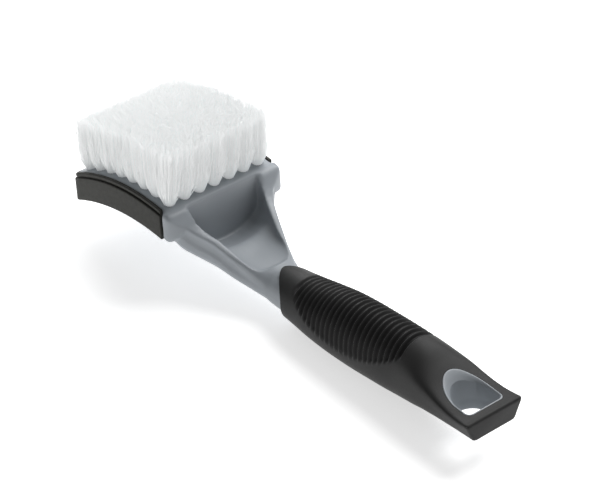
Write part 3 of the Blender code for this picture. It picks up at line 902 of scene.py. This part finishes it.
@dataclass(frozen=True)
class BumperStrip:
    """The rubber strip round both sides and the front of the head, swept along its path."""

    form: BrushForm
    wall: float = 2.2 * MM
    setback: float = 4.6 * MM
    ledge: float = 2.6 * MM
    ledge_inset: float = 0.6 * MM
    groove: float = 0.9 * MM
    groove_depth: float = 1.2 * MM
    groove_lead: float = 0.2 * MM
    groove_edge: float = 0.15 * MM
    groove_ease: float = 0.1 * MM
    edge_round: float = 0.6 * MM
    end_round: float = 0.35 * MM
    belly: float = 0.25 * MM
    belly_shares: Row = (0.25, 0.5, 0.75)
    straight_steps: int = 40
    corner_steps: int = 12
    round_steps: int = 4

    def path(self) -> list[Row]:
        """Return the strip's outer path.

        Returns:
            Places (d, y) with the outward direction (along d, along y), from one rear end
            to the other.
        """
        form = self.form
        half, radius = form.head_width / 2, form.head_corner
        rear, turn_d, turn_y = (form.head_rear + self.setback + self.end_round,
                                form.head_front - radius, half - radius)
        side = [(d, half, 0.0, 1.0) for d in spaced(rear, turn_d, self.straight_steps)[:-1]]
        side += [(turn_d + radius * math.sin(t), turn_y + radius * math.cos(t),
                  math.sin(t), math.cos(t)) for t in quarter(self.corner_steps)]
        front = [(form.head_front, y, 1.0, 0.0)
                 for y in spaced(turn_y, -turn_y, self.straight_steps)[1:-1]]
        return side + front + [(d, -y, out_d, -out_y) for d, y, out_d, out_y in reversed(side)]

    def profile(self) -> list[tuple[float, float, bool]]:
        """Return the strip's section.

        Returns:
            Points (depth from the outer face, drop, measured from the top and not from the
            underside).
        """
        edge, inset, turns = self.edge_round, self.ledge_inset, quarter(self.round_steps)
        top = self.ledge - self.groove
        points = [(self.wall, 0.0, True)]
        points += [(inset + edge * (1 - math.sin(t)), edge * (1 - math.cos(t)), True)
                   for t in turns]
        points += [(inset, top - self.groove_lead, True), (inset + self.groove_edge, top, True),
                   (self.groove_depth, top + self.groove_ease, True),
                   (self.groove_depth, self.ledge - self.groove_ease, True)]
        points += [(edge * (1 - math.sin(t)), self.ledge + edge * (1 - math.cos(t)), True)
                   for t in turns]
        points += [(-self.belly * math.sin(math.pi * share), share, False)
                   for share in self.belly_shares]
        points += [(edge * (1 - math.cos(t)), -edge * (1 - math.sin(t)), False) for t in turns]
        return points + [(self.wall, 0.0, False)]

    def section(self, place: Row, inset: float) -> Ring:
        """Return the strip's section at a place of its path.

        Args:
            place: The place and its outward direction.
            inset: How far the section is drawn in, for the rounded ends.

        Returns:
            The section's ring.
        """
        d, y, out_d, out_y = place
        top, low = self.form.plate(d) - inset, self.form.back(d) + inset
        ring = []
        for depth, drop, from_top in self.profile():
            inward = min(max(depth, inset), self.wall)
            at_d = min(d - out_d * inward, self.form.head_front)
            if from_top:
                z = max(top - drop, low)
            elif drop > 0:
                z = mix(top - self.ledge - self.edge_round, low + self.edge_round, drop)
            else:
                z = low - drop
            ring.append(Vector((-at_d, y - out_y * inward, z)))
        return ring

    def build(self, material: Material) -> None:
        """Build the strip with its rounded ends, and dress it.

        Args:
            material: The strip's finish.
        """
        path = self.path()
        rings = [self.section(place, 0) for place in path]
        turns = quarter(self.round_steps)[:-1]
        first, last = [[self.section((end[0] - self.end_round * math.cos(t), *end[1:]),
                                     self.end_round * (1 - math.sin(t))) for t in turns]
                       for end in (path[0], path[-1])]
        strip = self.form.lay(loft("head_bumper_strip", first + rings + last[::-1]))
        dress(strip, material, Slot.RUBBER, "head_bumper")


@dataclass(frozen=True)
class BristleField:
    """Eight rows of tufts, grown by Geometry Nodes and cut to a dome."""

    form: BrushForm
    rows: int = 8
    tufts: int = 7
    strands: int = 360
    tuft_pitch: float = 9.03 * MM
    tuft_turn: float = 1.7
    root_radius: float = 2.5 * MM
    tip_radius: float = 5.6 * MM
    squareness: float = 0.7
    strand_radius: float = 0.13 * MM
    strand_taper: float = 0.72
    strand_sides: int = 4
    strand_steps: int = 4
    root_depth: float = 0.6 * MM
    trim_height: float = 28.8 * MM
    trim_radius: float = 225.0 * MM
    trim_setback: float = 8.8 * MM
    front_lean: float = math.radians(-2.6)
    rear_lean: float = math.radians(4.8)
    spread: float = 0.968
    jitter: float = 2.4 * MM
    trim_jitter: float = 2.0 * MM
    bend: float = 1.0 * MM
    bow: float = 1.5 * MM
    bow_power: float = 0.55
    first_seed: int = 11
    seeds_a_row: int = 10

    def lay_out(self, net: MeshTree, strand: Socket, tuft: Socket) -> tuple[Socket, Socket]:
        """Spread a tuft's strands evenly.

        Args:
            net: The tree.
            strand: Number of the strand in its tuft.
            tuft: Number of the tuft.

        Returns:
            Places on the round root and on the squarer cell that the tips fill.
        """
        turn = net.math("ADD", net.product(strand, GOLDEN_TURN),
                        net.product(tuft, self.tuft_turn))
        filled = net.math("DIVIDE", net.math("ADD", strand, 0.5), net.given["Strands"])
        share = net.math("SQRT", filled)
        parts = net.math("COSINE", turn), net.math("SINE", turn)
        disc = net.combine(*(net.product(part, share) for part in parts))
        widest = net.math("MAXIMUM", *(net.math("ABSOLUTE", part) for part in parts))
        stretch = net.math("POWER", widest, net.given["Squareness"])
        return disc, net.scaled(disc, stretch)

    def cut_tips(self, net: MeshTree, reach: Socket, draw: Socket) -> Socket:
        """Cut the tips to the dome, each a little short of it.

        Args:
            net: The tree.
            reach: Where the tips are, seen from above.
            draw: Random values from -1 to 1.

        Returns:
            The tips' places.
        """
        given, (x, y, _) = net.given, net.separate(reach)
        away = net.math("SUBTRACT", x, given["Trim X"])
        under = net.math("SUBTRACT", net.math("POWER", given["Trim Radius"], 2.0),
                         net.product(away, away))
        dome = net.math("SUBTRACT", net.math("SQRT", under), given["Trim Radius"])
        uneven = net.product(net.math("SUBTRACT", draw, 1.0),
                             net.product(given["Trim Jitter"], 0.5))
        height = net.math("ADD", net.math("ADD", dome, given["Trim Z"]), uneven)
        return net.combine(x, y, height)

    def strand(self, net: MeshTree) -> Socket:
        """Make one upright filament of unit size.

        Args:
            net: The tree.

        Returns:
            The filament, with the height of its points as an attribute.
        """
        cone = net.out("GeometryNodeMeshCone",
                       {"Vertices": self.strand_sides, "Side Segments": self.strand_steps,
                        "Fill Segments": 1, "Radius Top": self.strand_taper,
                        "Radius Bottom": 1.0, "Depth": 1.0}, "Mesh", fill_type="NGON")
        up = net.separate(net.out("GeometryNodeInputPosition"))[2]
        return net.store(cone, "up", up)

    def tree(self, values: dict) -> Tree:
        """Build the tree that grows one row of tufts.

        Args:
            values: A row's sizes and its seed by the names of the tree's inputs.

        Returns:
            The tree.
        """
        net = MeshTree.start("tuft_row", values)
        given, index = net.given, net.out("GeometryNodeInputIndex")
        number = net.math("MODULO", index, given["Strands"])
        tuft = net.math("FLOOR", net.math("DIVIDE", index, given["Strands"]))
        disc, cell = self.lay_out(net, number, tuft)
        draws = [net.out("FunctionNodeRandomValue",
                         {"Min": (-1.0, -1.0, -1.0), "Max": (1.0, 1.0, 1.0), "ID": index,
                          "Seed": net.math("ADD", given["Seed"], float(k))}, "Value",
                         data_type="FLOAT_VECTOR") for k in range(3)]
        middle = net.product(net.math("SUBTRACT", given["Tufts"], 1.0), 0.5)
        side = net.product(net.math("SUBTRACT", tuft, middle), given["Pitch"])
        foot = net.combine(given["Row X"], side, given["Root Z"])
        root = net.vector("MULTIPLY_ADD", disc, given["Root Radius"], foot)
        over = net.combine(net.math("ADD", given["Row X"], given["Reach X"]),
                           net.product(side, given["Spread"]))
        even = net.vector("MULTIPLY_ADD", cell, given["Tip Radius"], over)
        reach = net.vector("MULTIPLY_ADD", draws[0], given["Jitter"], even)
        short, tone, _ = net.separate(draws[1])
        axis = net.vector("SUBTRACT", self.cut_tips(net, reach, short), root)
        length = net.out("ShaderNodeVectorMath", {0: axis}, "Value", operation="LENGTH")
        turned = net.out("FunctionNodeAlignRotationToVector", {"Vector": axis}, axis="Z")
        points = net.out("GeometryNodePoints", {
            "Count": net.product(given["Tufts"], given["Strands"]), "Position": root})
        curl = net.vector("MULTIPLY_ADD", disc, given["Bow"],
                          net.vector("MULTIPLY", draws[2], given["Bend"]))
        bent = net.store(points, "curl", curl, "FLOAT_VECTOR")
        toned = net.store(bent, "tone", tone)
        size = net.combine(given["Strand Radius"], given["Strand Radius"], length)
        placed = net.out("GeometryNodeInstanceOnPoints",
                         {"Points": toned, "Instance": self.strand(net),
                          "Rotation": turned, "Scale": size})
        real = net.out("GeometryNodeRealizeInstances", {0: placed})
        eased = net.math("POWER", net.read("up"), self.bow_power)
        arch = net.product(eased, net.math("SUBTRACT", 1.0, eased), 4.0)
        sway = net.scaled(net.read("curl", "FLOAT_VECTOR"), arch)
        return net.close(net.move(real, sway))

    def row_sizes(self, row: int, material: Material) -> dict:
        """Return the tree's input values for one row.

        Args:
            row: The row's number, from the front.
            material: The bristles' finish.

        Returns:
            Values by input name.
        """
        form = self.form
        front, rear = form.head_front - form.field_front, form.head_rear + form.field_rear
        d = mix(front, rear, (row + 0.5) / self.rows)
        lean = mix(self.front_lean, self.rear_lean, row / (self.rows - 1))
        return {"Tufts": self.tufts, "Strands": self.strands,
                "Seed": self.first_seed + self.seeds_a_row * row, "Row X": -d,
                "Root Z": form.plate(d) - self.root_depth, "Pitch": self.tuft_pitch,
                "Root Radius": self.root_radius, "Tip Radius": self.tip_radius,
                "Strand Radius": self.strand_radius, "Squareness": -self.squareness,
                "Reach X": math.tan(lean) * self.trim_height, "Spread": self.spread,
                "Trim X": -(form.head_rear + self.trim_setback),
                "Trim Z": form.plate_crown + self.trim_height, "Trim Radius": self.trim_radius,
                "Jitter": self.jitter, "Trim Jitter": self.trim_jitter, "Bend": self.bend,
                "Bow": self.bow, "Material": material}

    def build(self, material: Material) -> None:
        """Grow all rows from the front, and dress them.

        Args:
            material: The bristles' finish.
        """
        rows = [self.row_sizes(row, material) for row in range(self.rows)]
        tree = self.tree(rows[0])
        for row, values in enumerate(rows, 1):
            tufts = run_tree(link_mesh(f"bristle_tufts_{row}", bmesh.new()), tree, values)
            dress(self.form.lay(tufts), material, Slot.BRISTLE, f"bristle_row_{row}")


@dataclass(frozen=True)
class AnchorWires:
    """The wires that hold the rows of tufts, as the CAD has them."""

    prefix: str = "anchor_wire"

    def build(self, material: Material) -> None:
        """Dress every wire."""
        for name, node in frame["nodes"].items():
            if name.startswith(self.prefix):
                dress(node, material, Slot.WIRE)


# ---- Finishes


@dataclass(frozen=True)
class Surface(Wires):
    """A new material's tree and its Principled shader."""

    material: Material

    @classmethod
    def start(cls, name: str, values: dict) -> "Surface":
        """Start a material with its shader's uniform values.

        Args:
            name: The material's name.
            values: Values of the shader's sockets.

        Returns:
            The material's surface.
        """
        material = bpy.data.materials.new(name)
        material.use_nodes = True
        surface = cls(material.node_tree, material)
        for key, value in values.items():
            surface.shader.inputs[key].default_value = value
        return surface

    @property
    def shader(self) -> bpy.types.Node:
        """The material's shader."""
        return self.tree.nodes["Principled BSDF"]

    @property
    def place(self) -> Socket:
        """Object coordinates, so that the pattern's scale is real."""
        return self.out("ShaderNodeTexCoord", output="Object")

    def noise(self, size: float, detail: float, place: Socket | None = None,
              broken: float = 0.5) -> Socket:
        """Return soft noise.

        Args:
            size: Size of its largest patches.
            detail: How many finer layers it has.
            place: Coordinates, if they aren't the object's own.
            broken: How strong the finer layers are.

        Returns:
            The noise, from 0 to 1.
        """
        return self.out("ShaderNodeTexNoise",
                        {"Vector": place or self.place, "Scale": 1 / size, "Detail": detail,
                         "Roughness": broken}, "Fac")

    def tint(self, share: Socket, first: Socket | str, second: Socket | str) -> Socket:
        """Mix two colours, each a hex code or a socket."""
        first, second = (linear(c) if isinstance(c, str) else c for c in (first, second))
        return self.out("ShaderNodeMix", {"Factor": share, 6: first, 7: second}, 2,
                        data_type="RGBA")

    def read(self, name: str) -> Socket:
        """Return a named attribute of the mesh."""
        return self.out("ShaderNodeAttribute", output="Fac", attribute_name=name)

    def feed(self, socket: str, source: Socket) -> None:
        """Link a result to one of the shader's sockets."""
        self.tree.links.new(source, self.shader.inputs[socket])


@dataclass(frozen=True)
class MouldedSkin:
    """A moulded finish: soft patches of two tones under a fine grain."""

    name: str
    shader: dict[str, float]
    tones: tuple[str, str]
    patch: float
    patch_detail: float
    grain: float
    grain_detail: float
    roughness: Point
    relief: float
    relief_depth: float
    patch_broken: float = 0.5
    patch_range: Point = (0.0, 1.0)
    # Colour of the painted shade in the valleys between the ribs, if any
    valley: str = ""

    def make(self) -> Material:
        """Make the material, with painted shade in the valleys between the ribs if it has a
        valley colour.

        Returns:
            The material.
        """
        surface = Surface.start(self.name, self.shader)
        patches = surface.noise(self.patch, self.patch_detail, broken=self.patch_broken)
        tone = surface.tint(surface.remap(patches, self.patch_range), *self.tones)
        # Painted shade: the valley colour darkens the grooves between the ribs
        if self.valley:
            tone = surface.tint(surface.read("valley"), tone, self.valley)
        grain = surface.noise(self.grain, self.grain_detail)
        surface.feed("Base Color", tone)
        surface.feed("Roughness", surface.remap(grain, target=self.roughness))
        surface.feed("Normal", surface.out("ShaderNodeBump", {
            "Height": grain, "Strength": self.relief, "Distance": self.relief_depth}, "Normal"))
        return surface.material


# Polypropylene, injection moulded: an even satin grey with a faint orange peel
GREY_PLASTIC = MouldedSkin(
    "moulded_polypropylene_grey", {"IOR": 1.49, "Metallic": 0.0}, ("#8e949a", "#9ba0a5"),
    patch=26.0 * MM, patch_detail=3.0, grain=1.1 * MM, grain_detail=2.0,
    roughness=(0.35, 0.48), relief=0.10, relief_depth=0.05 * MM)

# Thermoplastic rubber, moulded over the core: soft and dull, with painted shade darkening the
# valleys between the ribs
BLACK_OVERMOULD = MouldedSkin(
    "thermoplastic_rubber_black", {"IOR": 1.51, "Specular IOR Level": 0.2, "Sheen Weight": 0.04},
    ("#1b1b1b", "#2e2e2e"), patch=18.0 * MM, patch_detail=4.0, grain=0.7 * MM,
    grain_detail=3.0, roughness=(0.42, 0.60), relief=0.18, relief_depth=0.06 * MM,
    valley="#0f0f0f")

# Rubber, moulded: a warm grey black with dusty specks, rougher than the grip
BUMPER_RUBBER = MouldedSkin(
    "moulded_rubber_dark", {"IOR": 1.52, "Specular IOR Level": 0.35}, ("#2c2c28", "#373733"),
    patch=2.5 * MM, patch_detail=5.0, patch_broken=0.6, patch_range=(0.35, 0.75),
    grain=0.5 * MM, grain_detail=3.0, roughness=(0.58, 0.76), relief=0.2,
    relief_depth=0.06 * MM)


@dataclass(frozen=True)
class NylonBristle:
    """Nylon filament, extruded: milky, each strand its own tone, with a painted glow."""

    tip: str = "#ffffff"
    pale: str = "#eaeeee"
    root: str = "#eef2f3"
    root_share: float = 0.35
    # Strength of the painted glow: the strands emit a faint light of their own to look brighter
    painted_glow: float = 0.088
    milk_depth: float = 0.6 * MM

    def make(self) -> Material:
        """Make the milky filament; its faint emission is a painted glow that brightens the
        strands.

        Returns:
            The material.
        """
        # Painted glow: the emission makes the strands shine with light of their own
        surface = Surface.start("extruded_nylon_filament",
                                {"IOR": 1.53, "Roughness": 0.42, "Subsurface Weight": 0.6,
                                 "Subsurface Radius": (1.0, 1.0, 1.0),
                                 "Subsurface Scale": self.milk_depth,
                                 "Emission Color": linear(self.tip),
                                 "Emission Strength": self.painted_glow})
        level = surface.remap(surface.read("tone"), (-1.0, 1.0))
        strand = surface.tint(level, self.pale, self.tip)
        grown = surface.remap(surface.read("up"), (0.0, self.root_share))
        surface.feed("Base Color", surface.tint(grown, self.root, strand))
        return surface.material


@dataclass(frozen=True)
class DrawnSteel:
    """Steel wire, cold drawn: bright, with fine marks along its length."""

    colour: str = "#b9b6ae"
    mark: float = 0.4 * MM
    stretch: Place = (1.0, 0.05, 1.0)
    roughness: Point = (0.22, 0.45)

    def make(self) -> Material:
        """Make the bright wire.

        Returns:
            The material.
        """
        surface = Surface.start("drawn_steel_wire",
                                {"Metallic": 1.0, "Base Color": linear(self.colour)})
        drawn = surface.out("ShaderNodeMapping",
                            {"Vector": surface.place, "Scale": self.stretch})
        marks = surface.noise(self.mark, 2.0, drawn)
        surface.feed("Roughness", surface.remap(marks, target=self.roughness))
        return surface.material


# ---- Studio


@dataclass(frozen=True)
class Studio:
    """A plain pale floor, soft light from above and behind, and the photograph's camera."""

    azimuth: float = math.radians(49.5)
    elevation: float = math.radians(35.5)
    lens: float = 156.5217
    sensor: float = 36.0
    nearest: float = 0.05
    reach: Place = (0.61615, -0.63979, 0.72799)
    floor_size: float = 6.0
    floor_glow: float = 0.6
    floor_cloud: float = 1 / 3
    floor_tones: tuple[str, str] = ("#f4f4f4", "#f8f8f8")
    sky: float = 0.22
    key: float = 26.5
    key_size: float = 1.4
    key_place: Place = (-0.1, 1.05, 1.35)
    rim: float = 11.0
    rim_size: float = 0.8
    rim_place: Place = (-1.2, 0.6, 0.75)

    def floor(self) -> None:
        """Lay the floor, which isn't part of the brush."""
        half = self.floor_size / 2
        bm = bmesh.new()
        corners = ((-half, -half), (half, -half), (half, half), (-half, half))
        bm.faces.new([bm.verts.new((x, y, 0)) for x, y in corners])
        floor = link_mesh("studio_floor", bm)
        surface = Surface.start("matte_studio_paint", {"Roughness": 0.9, "IOR": 1.3,
                                                       "Emission Color": (1, 1, 1, 1),
                                                       "Emission Strength": self.floor_glow})
        cloud = surface.noise(self.floor_cloud, 2.0)
        surface.feed("Base Color", surface.tint(cloud, *self.floor_tones))
        floor.data.materials.append(surface.material)

    def softbox(self, name: str, power: float, size: float, place: Place) -> None:
        """Hang a round softbox that faces the brush.

        Args:
            name: The lamp's name.
            power: Its power in watts.
            size: Its diameter.
            place: Where it hangs.
        """
        lamp = bpy.data.lights.new(name, "AREA")
        lamp.shape = "DISK"
        lamp.size = size
        lamp.energy = power
        box = bpy.data.objects.new(name, lamp)
        box.location = place
        box.rotation_euler = Vector(place).to_track_quat("Z", "Y").to_euler()
        bpy.context.scene.collection.objects.link(box)

    def light(self) -> None:
        """Set the sky, the large softbox behind the brush and the small one past its head."""
        world = bpy.data.worlds.new("studio_sky")
        world.use_nodes = True
        sky = world.node_tree.nodes["Background"]
        sky.inputs["Color"].default_value = (1, 1, 1, 1)
        sky.inputs["Strength"].default_value = self.sky
        bpy.context.scene.world = world
        self.softbox("key_softbox", self.key, self.key_size, self.key_place)
        self.softbox("rim_softbox", self.rim, self.rim_size, self.rim_place)

    def camera(self, form: BrushForm) -> None:
        """Set the camera at the photograph's angle.

        Args:
            form: The brush, whose tail the camera is placed from.
        """
        data = bpy.data.cameras.new("photo_camera")
        data.lens = self.lens
        data.sensor_width = self.sensor
        data.clip_start = self.nearest
        camera = bpy.data.objects.new("photo_camera", data)
        level = math.cos(self.elevation)
        back = Vector((math.sin(self.azimuth) * level, -math.cos(self.azimuth) * level,
                       math.sin(self.elevation)))
        camera.location = form.lie @ Vector((0, 0, -form.tail_bottom)) + Vector(self.reach)
        camera.rotation_euler = back.to_track_quat("Z", "Y").to_euler()
        bpy.context.scene.collection.objects.link(camera)
        bpy.context.scene.camera = camera
        bpy.context.scene.view_settings.view_transform = "Standard"


def main() -> None:
    """Build and dress every piece, then the studio."""
    logging.basicConfig(level=logging.INFO, format="%(message)s")
    form = BrushForm()
    hole = HangHole(form)
    grey = GREY_PLASTIC.make()
    GreyMoulding(form, hole).build(grey)
    hole.build(grey)
    RibbedGrip(form, hole).build(BLACK_OVERMOULD.make())
    BumperStrip(form).build(BUMPER_RUBBER.make())
    BristleField(form).build(NylonBristle().make())
    AnchorWires().build(DrawnSteel().make())
    studio = Studio()
    studio.floor()
    studio.light()
    studio.camera(form)


if __name__ == "__main__":
    main()
